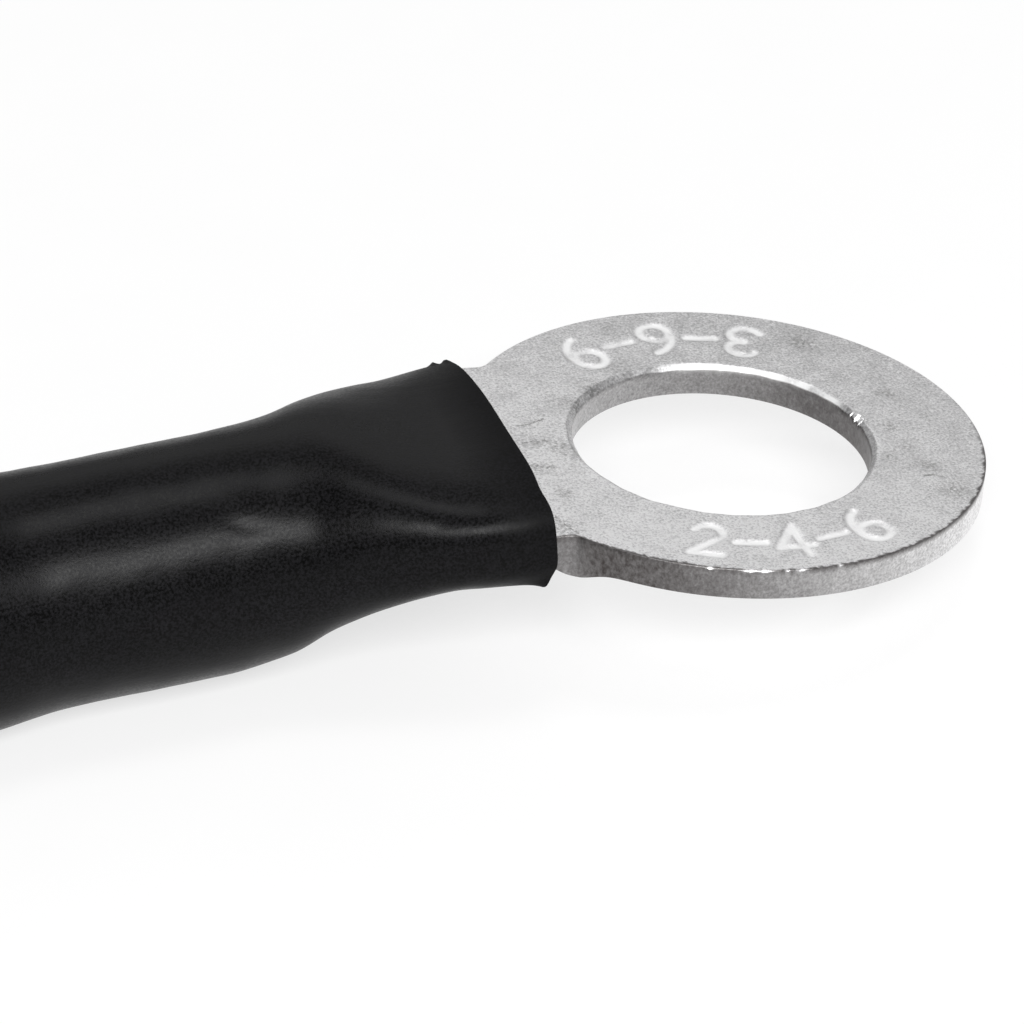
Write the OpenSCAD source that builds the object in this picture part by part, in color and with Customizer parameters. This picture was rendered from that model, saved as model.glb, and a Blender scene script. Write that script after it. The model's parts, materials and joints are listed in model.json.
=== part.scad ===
// Ring terminal lead: a short length of stranded cable with a crimped ring terminal on each end.
// Each terminal is one stamped sheet: a flat ring that narrows to a neck, and a neck rolled into a barrel.
// The barrel is crimped on the bare strands, and a shrink sleeve covers neck, barrel and jacket end.
// Millimetres. The origin is the stud hole's centre on the flat upper face of the ring.
// +X runs along the barrel towards the ring's tip, and +Z is up from the surface that the lead lies on.

/* [Ring] */
// Stud hole, for an 8 mm stud
hole_d = 8.4; // [5.3:0.1:10.5]
// Width of metal from the hole's edge to the ring's outside
ring_rim = 3.2; // [2.6:0.1:4.5]
// Thickness of the flat tongue
tongue_t = 0.9; // [0.7:0.05:1.2]
// Edge broken round the top of the hole
hole_chamfer = 0.12; // [0.05:0.01:0.2]
// Angle between the ring's plane and the barrel
tongue_droop = 9; // [4:0.5:12]

/* [Neck and barrel] */
// Half the width of the flat neck
neck_half = 4.8; // [3.6:0.05:5.2]
// Radius in the corner between ring and neck
neck_fillet = 0.45; // [0.3:0.05:1.5]
// Flat of the neck behind the fillet, up to where it starts to curl
neck_flat = 0.65; // [0.1:0.05:1.2]
// Half the sheet's width at the waist of the neck
waist_half = 3.3; // [2.8:0.05:4]
// Length of the neck, from the flat to the closed barrel
neck_l = 8; // [6.5:0.1:11]
// Outside of the rolled barrel
barrel_d = 5.6; // [4.6:0.1:6.6]
// Sheet thickness in the barrel
barrel_wall = 1.05; // [0.8:0.05:1.3]
// Closed length of the barrel behind the neck
barrel_l = 5; // [4.5:0.1:8]
// Width of the butt seam under the barrel
seam_w = 0.15; // [0.1:0.05:0.3]
// How far the barrel's axis lies below the ring's upper face at the hole
axis_drop = 0.45; // [0:0.05:0.9]
// Depth of the crimp pressed into the barrel from below
crimp_depth = 0.8; // [0.4:0.1:1.2]
// Radius of the crimp tool's nose
crimp_r = 2.4; // [1.8:0.1:3]

/* [Cable] */
// Outside of the jacket
cable_d = 6.2; // [5:0.1:6.2]
// Bare strands between barrel and jacket
bare_gap = 0.8; // [0.3:0.1:2]
// Strands that stand out of the barrel into the neck
strand_tip = 0.8; // [0.4:0.1:1.2]
// Jacket that shows behind the sleeve before the free cable
jacket_stub = 1.2; // [0.8:0.1:3]

/* [Shrink sleeve] */
// Wall after shrinking
sleeve_wall = 0.55; // [0.4:0.05:0.8]
// Length from the mouth to the rear edge
sleeve_l = 25; // [22:0.5:34]
// How far the mouth reaches over the flat part of the neck
sleeve_lap = 0.12; // [0.05:0.01:0.4]
// Room inside the flattened mouth at each edge of the neck
mouth_side_room = 0.5; // [0.3:0.05:0.8]
// Room inside the mouth over the neck
mouth_top_room = 0.45; // [0.3:0.05:0.8]
// Room inside the mouth under the neck
mouth_under_room = 0.4; // [0.3:0.05:0.8]

/* [Tie] */
// Width of the strap
tie_w = 2.6; // [2:0.1:4]
// Thickness of the strap
tie_t = 1.1; // [0.8:0.1:1.1]
// Length of strap left outside the head
tie_tail = 2.2; // [1:0.1:6]

/* [Hidden] */
// Clear space between the far ring and the near sleeve, with the lead folded
fold_gap = 0.95;
// How far the far hole lies behind the near one
fold_back = 30;
tie_head = [4.6, 5.2, 3.6];
cable_sides = 12;
round_fn = 96;
loft_sides = 48;
loft_steps = 14;
sheet_steps = 20;
// Step by which a faceted end lies inside the true round that it meets
skin = 0.02;
// Room for the sheet inside the sleeve, as a share of the sleeve's own oval
sheet_room = 1.01;
// How much thinner the trimmed strands are than the bore
strand_trim = 0.22;
cut = 1;
// Where along the neck the sheet is fully curled, its crown is level, and its waist lies
curl_done = 0.72;
crown_done = 0.68;
waist_at = 0.45;
close_power = 2.6;
// Where along the neck the sleeve has its barrel width and its barrel height
width_done = 0.89;
rise_done = 0.66;
mouth_power = 2.4;

tin = [0.72, 0.72, 0.73];
copper = [0.78, 0.46, 0.3];
sleeve_black = [0.05, 0.05, 0.055];
jacket_black = [0.07, 0.07, 0.075];
tie_grey = [0.16, 0.16, 0.17];

ring_r = hole_d / 2 + ring_rim;
barrel_r = barrel_d / 2;
bore_r = barrel_r - barrel_wall;
cable_r = cable_d / 2;
axis_z = -axis_drop;
// How far behind the hole's centre the fillets end, and the flat of the neck
fillet_x = sqrt((ring_r + neck_fillet) ^ 2 - (neck_half + neck_fillet) ^ 2);
flat_l = fillet_x + neck_flat;
neck_x = -flat_l * cos(tongue_droop);
barrel_x = neck_x - neck_l;
rear_x = barrel_x - barrel_l;
jacket_x = rear_x - bare_gap;
mouth_x = neck_x + sleeve_lap;
sleeve_x = mouth_x - sleeve_l;
stub_x = sleeve_x - jacket_stub;

// Where the far terminal's hole lies
far_at = [-fold_back, ring_r + cable_r + sleeve_wall + fold_gap, 0];
// Route of the free cable's centre line, from the near jacket end round to the far one
route = [
    [stub_x, 0, axis_z], [-44, 0, -0.5], [-56, 0, -0.5], [-68, 0, -0.3], [-78, 0, -0.1], [-87, 0, 0.1],
    [-93, 0, 0.1], [-100.3, -1.1, -0.1], [-107, -4.3, -0.4], [-112.5, -9.5, -0.7], [-119.4, -15, -0.9],
    [-128, -17, -1], [-136.7, -15, -1], [-143.7, -9.5, -1], [-147.5, -1.5, -1], [-147.5, 7.5, -1],
    [-143.7, 15.5, -1], [-136.7, 21, -1], [-128, 23, -1], [-119.4, 21, -0.9], [-112.5, 15.5, -0.7],
    [-107, 10.4, -0.4], [-100.3, 7.2, -0.1], [-93, 6.2, 0.1], [-87, 6.2, 0.1], [-81, 6.9, 0],
    [-75, 9, -0.2], [-69, 11.2, -0.4], far_at + [stub_x, 0, axis_z]];
// Middle of the tie, between the two strands, and half the distance between them there
tie_at = [-90, 3.1, 0.1];
strand_half = 3.1;

function mix(a, b, k) = a + (b - a) * k;
function ease(u) = let (v = min(1, max(0, u))) v * v * (3 - 2 * v);

// Turning frames into solids: rings of equal count are skinned in order, and the ends are closed
function skin_faces(rows, count) = concat(
    [for (i = [0:rows - 2], j = [0:count - 1])
        let (a = i * count + j, b = i * count + (j + 1) % count) [a, b, a + count]],
    [for (i = [0:rows - 2], j = [0:count - 1])
        let (a = i * count + j, b = i * count + (j + 1) % count) [b, b + count, a + count]]);

// Rolled neck: the sheet curls about its crown from flat to a closed tube
function sheet_half(u) = u < waist_at
    ? mix(neck_half - skin, waist_half, ease(u / waist_at))
    : mix(waist_half, PI * (barrel_r - barrel_wall / 2) - seam_w / 2,
          ((u - waist_at) / (1 - waist_at)) ^ close_power);
function sheet_curl(u) = ease(u / curl_done) / (barrel_r - barrel_wall / 2);
function sheet_t(u) = mix(tongue_t, barrel_wall, u) - 2 * skin;
function crown_z(u) = let (
        v = min(1, u / crown_done),
        rise = tan(tongue_droop) * neck_l * crown_done,
        low = flat_l * sin(tongue_droop),
        high = axis_z + barrel_r)
    low * (2 * v ^ 3 - 3 * v ^ 2 + 1) + rise * (v ^ 3 - 2 * v ^ 2 + v) + high * (3 * v ^ 2 - 2 * v ^ 3);
function lean(u) = tongue_droop * (1 - ease(u));
// One point of the sheet, side +1 on its outer face and -1 on its inner face
function sheet_point(u, s, side) = let (
        k = sheet_curl(u),
        turn = k * s * 180 / PI,
        y = k < 0.001 ? s : sin(turn) / k,
        d = k < 0.001 ? 0 : (1 - cos(turn)) / k,
        t = sheet_t(u),
        yy = y + side * t / 2 * sin(turn),
        zz = -t / 2 - skin - d + side * t / 2 * cos(turn))
    [mix(neck_x, barrel_x, u) + zz * sin(lean(u)), yy, crown_z(u) + zz * cos(lean(u))];
function sheet_ring(u) = let (h = sheet_half(u)) concat(
    [for (i = [0:sheet_steps]) sheet_point(u, mix(-h, h, i / sheet_steps), 1)],
    [for (i = [0:sheet_steps]) sheet_point(u, mix(h, -h, i / sheet_steps), -1)]);

module rolled_neck() {
    count = 2 * (sheet_steps + 1);
    rows = loft_steps + 1;
    points = [for (i = [0:loft_steps]) each sheet_ring(i / loft_steps)];
    last = (rows - 1) * count;
    cap = [for (i = [0:sheet_steps - 1]) [i, i + 1, count - 2 - i, count - 1 - i]];
    polyhedron(points, concat(
        [for (f = skin_faces(rows, count)) [f[2], f[1], f[0]]],
        [for (q = cap) each [[q[0], q[1], q[2]], [q[0], q[2], q[3]]]],
        [for (q = cap) each [
            [last + q[2], last + q[1], last + q[0]], [last + q[3], last + q[2], last + q[0]]]]));
}

module fillet_2d() {
    centre = [-fillet_x, neck_half + neck_fillet];
    touch = centre * ring_r / (ring_r + neck_fillet);
    difference() {
        polygon([touch, centre, [centre[0], neck_half], [centre[0], neck_half - neck_fillet],
                 [touch[0], neck_half - neck_fillet]]);
        translate(centre) circle(r = neck_fillet, $fn = round_fn);
    }
}

module tongue_2d() {
    circle(r = ring_r, $fn = round_fn);
    translate([-flat_l, -neck_half]) square([flat_l, 2 * neck_half]);
    fillet_2d();
    mirror([0, 1]) fillet_2d();
}

module tongue() {
    rotate([0, tongue_droop, 0]) difference() {
        translate([0, 0, -tongue_t]) linear_extrude(tongue_t) tongue_2d();
        translate([0, 0, -tongue_t - cut]) cylinder(d = hole_d, h = tongue_t + 2 * cut, $fn = round_fn);
        translate([0, 0, -hole_chamfer])
            cylinder(r1 = hole_d / 2, r2 = hole_d / 2 + 2 * hole_chamfer, h = 2 * hole_chamfer, $fn = round_fn);
    }
}

// A rod along the barrel's axis, from one X to another
module along(r, from, to) {
    translate([to, 0, axis_z]) rotate([0, 90, 0]) cylinder(r = r, h = from - to, $fn = round_fn);
}

// Nose of the crimp tool, pressed in from below; grow adds the sheet that it pushes ahead
module crimp_nose(grow) {
    translate([mix(barrel_x, rear_x, 0.5), 0, axis_z - barrel_r + crimp_depth - crimp_r])
        rotate([90, 0, 0]) cylinder(r = crimp_r + grow, h = 4 * barrel_r, center = true, $fn = round_fn);
}

module barrel() {
    difference() {
        along(barrel_r, barrel_x, rear_x);
        difference() {
            along(bore_r, barrel_x + cut, rear_x - cut);
            crimp_nose(barrel_wall);
        }
        crimp_nose(0);
        translate([rear_x - cut, -seam_w / 2, axis_z - barrel_r - cut])
            cube([barrel_l + 2 * cut, seam_w, barrel_r - bore_r + cut]);
    }
}

module ring_terminal() {
    color(tin) union() {
        tongue();
        rolled_neck();
        barrel();
    }
}

// Strands, squeezed to fill the crimped bore and trimmed just in front of it
module conductor_end() {
    color(copper) union() {
        difference() {
            along(bore_r, barrel_x, rear_x);
            crimp_nose(barrel_wall);
        }
        along(bore_r - strand_trim, barrel_x + strand_tip, barrel_x);
        along(bore_r, rear_x, stub_x);
    }
}

module jacket_end() {
    color(jacket_black) difference() {
        along(cable_r, jacket_x, stub_x);
        along(bore_r, jacket_x + cut, stub_x - cut);
    }
}

// Sleeve: an oval mouth round the neck that closes to a round tube over the barrel
// Each oval is [half width, top, bottom, power], measured inside the sleeve
function oval_base(x) = let (
        u = (mouth_x - x) / (neck_l + sleeve_lap),
        kw = ease(u / width_done), kt = ease(u / rise_done), kb = ease(u),
        low = flat_l * sin(tongue_droop))
    [mix(neck_half + mouth_side_room, barrel_r, kw),
     mix(low + mouth_top_room, axis_z + barrel_r, kt),
     mix(low - tongue_t - mouth_under_room, axis_z - barrel_r, kb),
     mix(mouth_power, 2, kw)];
// How far the sheet reaches in an oval, as a share of the oval
function oval_reach(o, x) = let (
        u = min(1, max(0, (neck_x - x) / neck_l)), mid = (o[1] + o[2]) / 2, half = (o[1] - o[2]) / 2)
    max([for (p = sheet_ring(u)) ((abs(p[1]) / o[0]) ^ o[3] + (abs(p[2] - mid) / half) ^ o[3]) ^ (1 / o[3])]);
// The oval is let out where the sheet needs it
function oval(x) = let (
        o = oval_base(x), k = max(1, sheet_room * oval_reach(o, x)), mid = (o[1] + o[2]) / 2)
    [o[0] * k, mid + (o[1] - mid) * k, mid + (o[2] - mid) * k, o[3]];
function oval_ring(x, grow) = let (o = oval(x), p = 2 / o[3], mid = (o[1] + o[2]) / 2, half = (o[1] - o[2]) / 2)
    [for (j = [0:loft_sides - 1]) let (a = 360 * (j + 0.5) / loft_sides, c = cos(a), s = sin(a))
        [x, (o[0] + grow) * sign(c) * abs(c) ^ p, mid + (half + grow) * sign(s) * abs(s) ^ p]];

module sleeve_front() {
    rows = loft_steps + 1;
    // The inner ring is drawn round the tube that it clears, so its flats don't cut into it
    clear = skin + barrel_r * (1 / cos(180 / loft_sides) - 1);
    // The last ring lies a step inside the wall of the rear tube
    xs = [for (i = [0:loft_steps]) mix(mouth_x, barrel_x - skin, i / loft_steps)];
    points = concat(
        [for (x = xs) each oval_ring(x, sleeve_wall - skin)],
        [for (x = xs) each oval_ring(x, clear)]);
    n = rows * loft_sides;
    last = (rows - 1) * loft_sides;
    sides = skin_faces(rows, loft_sides);
    polyhedron(points, concat(
        sides,
        [for (f = sides) [n + f[2], n + f[1], n + f[0]]],
        [for (j = [0:loft_sides - 1]) let (k = (j + 1) % loft_sides) each [[n + j, k, j], [n + j, n + k, k]]],
        [for (j = [0:loft_sides - 1]) let (k = (j + 1) % loft_sides)
            each [[last + k, n + last + j, last + j], [n + last + k, n + last + j, last + k]]]));
}

module sleeve_rear() {
    translate([0, 0, axis_z]) rotate([0, -90, 0]) rotate_extrude($fn = round_fn) polygon([
        [barrel_r, -barrel_x], [barrel_r + sleeve_wall, -barrel_x],
        [barrel_r + sleeve_wall, -rear_x], [cable_r + sleeve_wall, -jacket_x],
        [cable_r + sleeve_wall, -sleeve_x], [cable_r, -sleeve_x],
        [cable_r, -jacket_x], [barrel_r, -rear_x]]);
}

module shrink_sleeve() {
    color(sleeve_black) union() {
        sleeve_front();
        sleeve_rear();
    }
}

// Free cable: a ring of points across the route at each of its points
function unit(v) = v / norm(v);
function heading(i) = i == 0 ? [-1, 0, 0]
    : i == len(route) - 1 ? [1, 0, 0]
    : unit(route[i + 1] - route[i - 1]);
function cable_ring(i) = let (t = heading(i), side = unit(cross([0, 0, 1], t)), up = cross(t, side))
    [for (j = [0:cable_sides - 1]) let (a = 360 * j / cable_sides - 90)
        route[i] + cable_r * (cos(a) * side + sin(a) * up)];

module cable_run() {
    rows = len(route);
    points = [for (i = [0:rows - 1]) each cable_ring(i)];
    last = (rows - 1) * cable_sides;
    color(jacket_black) polyhedron(points, concat(
        [for (f = skin_faces(rows, cable_sides)) [f[2], f[1], f[0]]],
        [[for (j = [0:cable_sides - 1]) j]],
        [[for (j = [cable_sides - 1:-1:0]) last + j]]));
}

// Tie: a strap round both strands, its head on top and the end of the strap through it
module strap_2d(grow) {
    for (s = [-1, 1]) translate([0, s * strand_half]) circle(r = cable_r + grow, $fn = round_fn);
    translate([-cable_r - grow, -strand_half]) square([2 * (cable_r + grow), 2 * strand_half]);
}

module cable_tie() {
    top = cable_r + tie_t;
    color(tie_grey) translate(tie_at) union() {
        translate([-tie_w / 2, 0, 0]) rotate([0, 90, 0]) linear_extrude(tie_w) difference() {
            strap_2d(tie_t);
            strap_2d(0);
        }
        translate([-tie_head[0] / 2, -tie_head[1] / 2, cable_r]) cube(tie_head);
        translate([-tie_w / 2, -tie_t / 2, top]) cube([tie_w, tie_t, tie_head[2] - tie_t + tie_tail]);
    }
}

module far_ring_terminal() translate(far_at) ring_terminal();
module far_conductor_end() translate(far_at) conductor_end();
module far_jacket_end() translate(far_at) jacket_end();
module far_shrink_sleeve() translate(far_at) shrink_sleeve();

ring_terminal();
conductor_end();
jacket_end();
shrink_sleeve();
cable_run();
cable_tie();
far_ring_terminal();
far_conductor_end();
far_jacket_end();
far_shrink_sleeve();
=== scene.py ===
"""Looks of a ring terminal lead, built round its solids: terminals, shrink sleeves, cable and tie."""

import json
import math

import bmesh
import bpy
import numpy as np
from bpy.props import FloatProperty, FloatVectorProperty, PointerProperty
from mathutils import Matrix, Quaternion, Vector


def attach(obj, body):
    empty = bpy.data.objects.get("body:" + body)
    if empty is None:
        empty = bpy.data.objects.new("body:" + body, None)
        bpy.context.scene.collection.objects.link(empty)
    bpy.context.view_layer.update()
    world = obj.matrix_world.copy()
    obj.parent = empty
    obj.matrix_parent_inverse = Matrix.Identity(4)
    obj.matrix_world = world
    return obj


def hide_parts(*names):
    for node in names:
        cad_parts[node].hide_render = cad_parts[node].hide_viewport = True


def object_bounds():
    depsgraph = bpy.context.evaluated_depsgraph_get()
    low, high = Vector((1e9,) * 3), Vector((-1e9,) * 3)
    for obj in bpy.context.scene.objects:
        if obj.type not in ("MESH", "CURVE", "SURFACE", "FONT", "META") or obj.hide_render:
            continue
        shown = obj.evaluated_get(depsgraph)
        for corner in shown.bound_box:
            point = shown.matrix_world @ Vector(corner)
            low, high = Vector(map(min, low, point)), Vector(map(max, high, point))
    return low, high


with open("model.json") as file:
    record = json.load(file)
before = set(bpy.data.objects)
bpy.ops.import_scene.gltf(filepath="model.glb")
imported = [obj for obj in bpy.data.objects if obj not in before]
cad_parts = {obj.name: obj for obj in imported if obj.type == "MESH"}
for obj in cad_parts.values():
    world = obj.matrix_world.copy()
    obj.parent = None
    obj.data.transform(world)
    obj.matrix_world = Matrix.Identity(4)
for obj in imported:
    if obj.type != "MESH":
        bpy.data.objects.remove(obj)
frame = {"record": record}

bl_info = {
    "name": "Ring terminal lead",
    "version": (1, 0, 0),
    "blender": (4, 5, 0),
    "location": "View3D > Sidebar > Lead",
    "description": "Builds the visible pieces of a ring terminal lead round its solids",
    "category": "Object",
}

MM = 0.001
CAD_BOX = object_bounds()
MOUNTS = {mount["name"]: mount for mount in frame["record"]["mounts"]}
STUD_HOLE = MOUNTS["stud_hole"]
# The far terminal is the near one moved by this much
FAR_AT = Vector(MOUNTS["far_stud_hole"]["pos_m"])
DROOP = math.asin(STUD_HOLE["axis"][0])
FLOOR_Z = CAD_BOX[0].z

# Centre line of the free cable in millimetres, from the near sleeve round to the far one
ROUTE = [
    (-32.5, 0, -0.45), (-44, 0, -0.5), (-56, 0, -0.5), (-68, 0, -0.3), (-78, 0, -0.1), (-87, 0, 0.1),
    (-93, 0, 0.1), (-100.3, -1.1, -0.1), (-107, -4.3, -0.4), (-112.5, -9.5, -0.7), (-119.4, -15, -0.9),
    (-128, -17, -1), (-136.7, -15, -1), (-143.7, -9.5, -1), (-147.5, -1.5, -1), (-147.5, 7.5, -1),
    (-143.7, 15.5, -1), (-136.7, 21, -1), (-128, 23, -1), (-119.4, 21, -0.9), (-112.5, 15.5, -0.7),
    (-107, 10.4, -0.4), (-100.3, 7.2, -0.1), (-93, 6.2, 0.1), (-87, 6.2, 0.1), (-81, 6.9, 0),
    (-75, 9, -0.2), (-69, 11.2, -0.4), (-62.5, 12, -0.45),
]


# Properties


def length(name, description, millimetres):
    """A size in metres, given in millimetres."""
    shown = {"unit": "LENGTH", "subtype": "DISTANCE", "precision": 5}
    return FloatProperty(name=name, description=description, default=millimetres * MM, **shown)


def angle(name, description, radians):
    """An angle in radians."""
    shown = {"unit": "ROTATION", "subtype": "ANGLE"}
    return FloatProperty(name=name, description=description, default=radians, **shown)


def light_power(name, description, watts):
    """The power of a light in watts."""
    return FloatProperty(name=name, description=description, default=watts, unit="POWER")


def colour(name, description, default):
    """A linear colour."""
    shown = {"size": 3, "min": 0.0, "max": 1.0, "subtype": "COLOR"}
    return FloatVectorProperty(name=name, description=description, default=default, **shown)


def place(name, description, millimetres):
    """A point in metres, given in millimetres."""
    metres = [value * MM for value in millimetres]
    shown = {"size": 3, "unit": "LENGTH", "subtype": "TRANSLATION", "precision": 5}
    return FloatVectorProperty(name=name, description=description, default=metres, **shown)


class TerminalSizes(bpy.types.PropertyGroup):
    """Sizes of one stamped and rolled terminal."""

    hole_radius: length("Hole radius", "Radius of the stud hole", STUD_HOLE["dims"]["r_mm"])
    ring_radius: length("Ring radius", "Outside radius of the ring", 7.4)
    thickness: length("Thickness", "Sheet thickness of the flat tongue", 0.9)
    droop: angle("Droop", "Angle between the ring's plane and the barrel", DROOP)
    glint_edge: length("Glint edge", "Radius of the outside edge where it is burnished", 0.09)
    hole_edge: length("Hole edge", "Width of the edge broken round the top of the hole", 0.15)
    outer_edge: length("Outer edge", "Radius of the ring's outside edges", 0.02)
    neck_edge: length("Neck edge", "Radius of the neck's near upper edge where it enters the sleeve", 0.03)
    neck_half: length("Neck half width", "Half the width of the flat neck", 4.8)
    shoulder: length("Shoulder radius", "Radius in the corner between ring and neck", 0.45)
    neck_flat: length("Neck flat", "Flat of the neck behind the corner, up to where it starts to curl", 0.65)
    shoulder_roll: length("Shoulder roll", "How far the neck's near edge is rolled down at the sleeve", 0.05)
    shoulder_swell: length("Shoulder swell", "How far the lower edge bulges down at the shoulder", 0.38)
    waist_half: length("Waist half width", "Half the sheet's width at the waist of the neck", 3.3)
    neck_length: length("Neck length", "Length of the neck, from the flat to the closed barrel", 8.0)
    barrel_radius: length("Barrel radius", "Outside radius of the rolled barrel", 2.8)
    barrel_wall: length("Barrel wall", "Sheet thickness in the barrel", 1.05)
    barrel_length: length("Barrel length", "Closed length of the barrel", 5.0)
    seam: length("Seam", "Width of the butt seam under the barrel", 0.15)
    axis_drop: length("Axis drop", "How far the barrel's axis lies below the ring's upper face", 0.45)
    crimp_depth: length("Crimp depth", "Depth of the crimp pressed in from below", 0.8)
    crimp_radius: length("Crimp radius", "Radius of the crimp tool's nose", 2.4)
    mark_height: length("Mark height", "Height of the stamped numbers", 1.6)
    mark_stroke: length("Mark stroke", "Half the width of a stamped stroke", 0.21)
    mark_depth: length("Mark depth", "Depth of a stamped stroke", 0.045)


class SleeveSizes(bpy.types.PropertyGroup):
    """Sizes of one shrink sleeve."""

    mouth: length("Mouth", "How far the mouth lies behind the hole's centre", 6.29)
    reach: length("Length", "Length from the mouth to the rear edge", 25.0)
    mouth_half: length("Mouth half width", "Half the outside width of the mouth", 5.1)
    mouth_over: length("Over the neck", "Height of the mouth over the neck's upper face", 1.13)
    mouth_under: length("Under the neck", "Depth of the mouth under the neck's upper face", 2.2)
    width_blend: length("Width blend", "Length over which the width closes to the barrel", 7.9)
    crown_blend: length("Crown blend", "Length over which the top rises to the barrel", 4.0)
    floor_blend: length("Floor blend", "Length over which the underside falls to the barrel", 6.9)
    corner_blend: length("Corner blend", "Length over which the boxed mouth rounds off", 6.9)
    barrel_radius: length("Radius on barrel", "Outside radius over the barrel", 3.35)
    jacket_radius: length("Radius on jacket", "Outside radius over the cable's jacket", 3.65)
    mouth_wall: length("Mouth wall", "Wall thickness at the mouth's sides, drawn thin round the neck", 0.27)
    wall: length("Wall", "Wall thickness elsewhere", 0.53)
    skew: length("Skew", "How far the mouth's cut runs back a quarter turn from its foremost point", 0.26)


class CableSizes(bpy.types.PropertyGroup):
    """Sizes of the cable and its strands."""

    diameter: length("Diameter", "Outside of the jacket", 6.2)
    jacket_start: length("Jacket start", "How far the jacket's cut end lies behind the hole's centre", 20.2)
    bundle_radius: length("Bundle radius", "Radius of the bundle of strands", 1.72)
    strand_tip: length("Strand tip", "How far the strands stand out of the barrel into the neck", 0.8)
    lay: length("Lay", "Length of one turn of the strands", 42.0)


class TieSizes(bpy.types.PropertyGroup):
    """Sizes of the strap tie that holds the folded lead."""

    middle: place("Middle", "Middle of the tie, between the two strands of cable", (-90.0, 3.1, 0.1))
    spread: length("Spread", "Half the distance between the two strands of cable", 3.1)
    width: length("Strap width", "Width of the strap", 2.6)
    thickness: length("Strap thickness", "Thickness of the strap", 1.1)
    head: place("Head", "Size of the head", (4.6, 5.2, 3.6))
    tail: length("Tail", "Strap left standing out of the head", 2.2)
    tooth: length("Tooth pitch", "Distance between the strap's teeth", 0.55)


class Finishes(bpy.types.PropertyGroup):
    """Colours of the pieces."""

    tin: colour("Tin", "Satin tin plating", (0.82, 0.815, 0.82))
    # Burnished tin of the stamped numbers, with the painted highlight on them and on the hole's edge
    stamp_and_highlight_tin: colour("Bright tin", "Tin burnished by the stamp", (0.88, 0.88, 0.88))
    # Tarnish of the sheared edges, also used as painted shade on the edges, along the rim and inside the
    # hole
    tarnish_and_shade_tint: colour("Tarnish", "Sheared edge where the copper shows through", (0.07, 0.062, 0.06))
    # Dirt of the scratches and smudges, and painted shade at the neck's near corner
    grime_and_shade: colour("Grime", "Dirt rubbed into the plating", (0.16, 0.155, 0.15))
    copper: colour("Copper", "Bare strands", (0.72, 0.38, 0.22))
    sleeve: colour("Sleeve", "Shrink sleeve", (0.003, 0.0029, 0.0034))
    jacket: colour("Jacket", "Cable jacket", (0.008, 0.008, 0.009))
    tie: colour("Tie", "Strap tie", (0.018, 0.018, 0.019))
    floor: colour("Floor", "Floor under the lead", (0.93, 0.93, 0.93))


class StageSettings(bpy.types.PropertyGroup):
    """Camera and light."""

    camera_at: place("Camera", "Where the camera stands", (-53.71, -208.0, 130.28))
    camera_target: place("Target", "The point that the camera looks at", (-6.169, 0.0, -1.026))
    camera_roll: angle("Roll", "Turn of the camera about its line of sight", math.radians(-4.532))
    lens: FloatProperty(
        name="Lens", description="Focal length on a 36 mm sensor", default=316.4, subtype="DISTANCE_CAMERA"
    )
    key_power: light_power("Key", "Power of the front softbox", 2.7)
    top_power: light_power("Top", "Power of the softbox overhead", 0.45)
    back_power: light_power("Back", "Power of the softbox behind", 0.26)
    sky_level: FloatProperty(name="Sky", description="Brightness of the surroundings", default=0.26, min=0.0)


class LeadSettings(bpy.types.PropertyGroup):
    """All the settings of the lead."""

    terminal: PointerProperty(type=TerminalSizes)
    sleeve: PointerProperty(type=SleeveSizes)
    cable: PointerProperty(type=CableSizes)
    tie: PointerProperty(type=TieSizes)
    finish: PointerProperty(type=Finishes)
    stage: PointerProperty(type=StageSettings)


# Meshes


def ease(share):
    """A smooth step from 0 to 1."""
    share = np.clip(share, 0.0, 1.0)
    return share * share * (3.0 - 2.0 * share)


def mix(start, end, share):
    """The value between start and end at that share."""
    return start + (end - start) * share


def hump(value, middle, reach):
    """A smooth hump: 1 at its middle, and close to 0 two reaches away."""
    return np.exp(-(((value - middle) / reach) ** 2))


def eased(value, start, end):
    """A smooth step from 0 at the start to 1 at the end."""
    return ease((value - start) / (end - start))


def window(value, start, full, last, end):
    """A smooth step up from the start to where it is full, and down from the last of it to the end."""
    return eased(value, start, full) * (1.0 - eased(value, last, end))


def ripple(along, around, seed):
    """A smooth, uneven value from about -1 to 1, the same on each run."""
    return (
        0.5 * np.sin(along + 2.0 * np.sin(around + seed) + seed)
        + 0.3 * np.sin(along * 2.3 + 3.0 * np.cos(around * 2.0) + 2.0 * seed)
        + 0.2 * np.sin(along * 4.1 + 4.0 * around + 3.0 * seed)
    )


def turns(count):
    """Angles in even steps once round."""
    return np.linspace(0.0, 2.0 * math.pi, count, endpoint=False)


def numbered(points, start=0):
    """Vertex numbers from start on, for rows of points."""
    return start + np.arange(points.shape[0] * points.shape[1]).reshape(points.shape[:2])


def quads(grid, wrap=False):
    """Faces over a grid of vertex numbers, closed on itself along its rows if wrap is set."""
    left = grid if wrap else grid[:, :-1]
    right = np.roll(grid, -1, axis=1) if wrap else grid[:, 1:]
    return np.stack([left[:-1], right[:-1], right[1:], left[1:]], axis=-1).reshape(-1, 4).tolist()


def make_mesh(name, points, faces, sharp=math.radians(42.0)):
    """A smooth mesh with its faces turned outward and its sharp edges kept."""
    mesh = bpy.data.meshes.new(name)
    mesh.from_pydata(np.asarray(points, float).tolist(), [], faces)
    body = bmesh.new()
    body.from_mesh(mesh)
    bmesh.ops.recalc_face_normals(body, faces=body.faces)
    body.to_mesh(mesh)
    body.free()
    mesh.shade_smooth()
    mesh.set_sharp_from_angle(angle=sharp)
    return mesh


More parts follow.
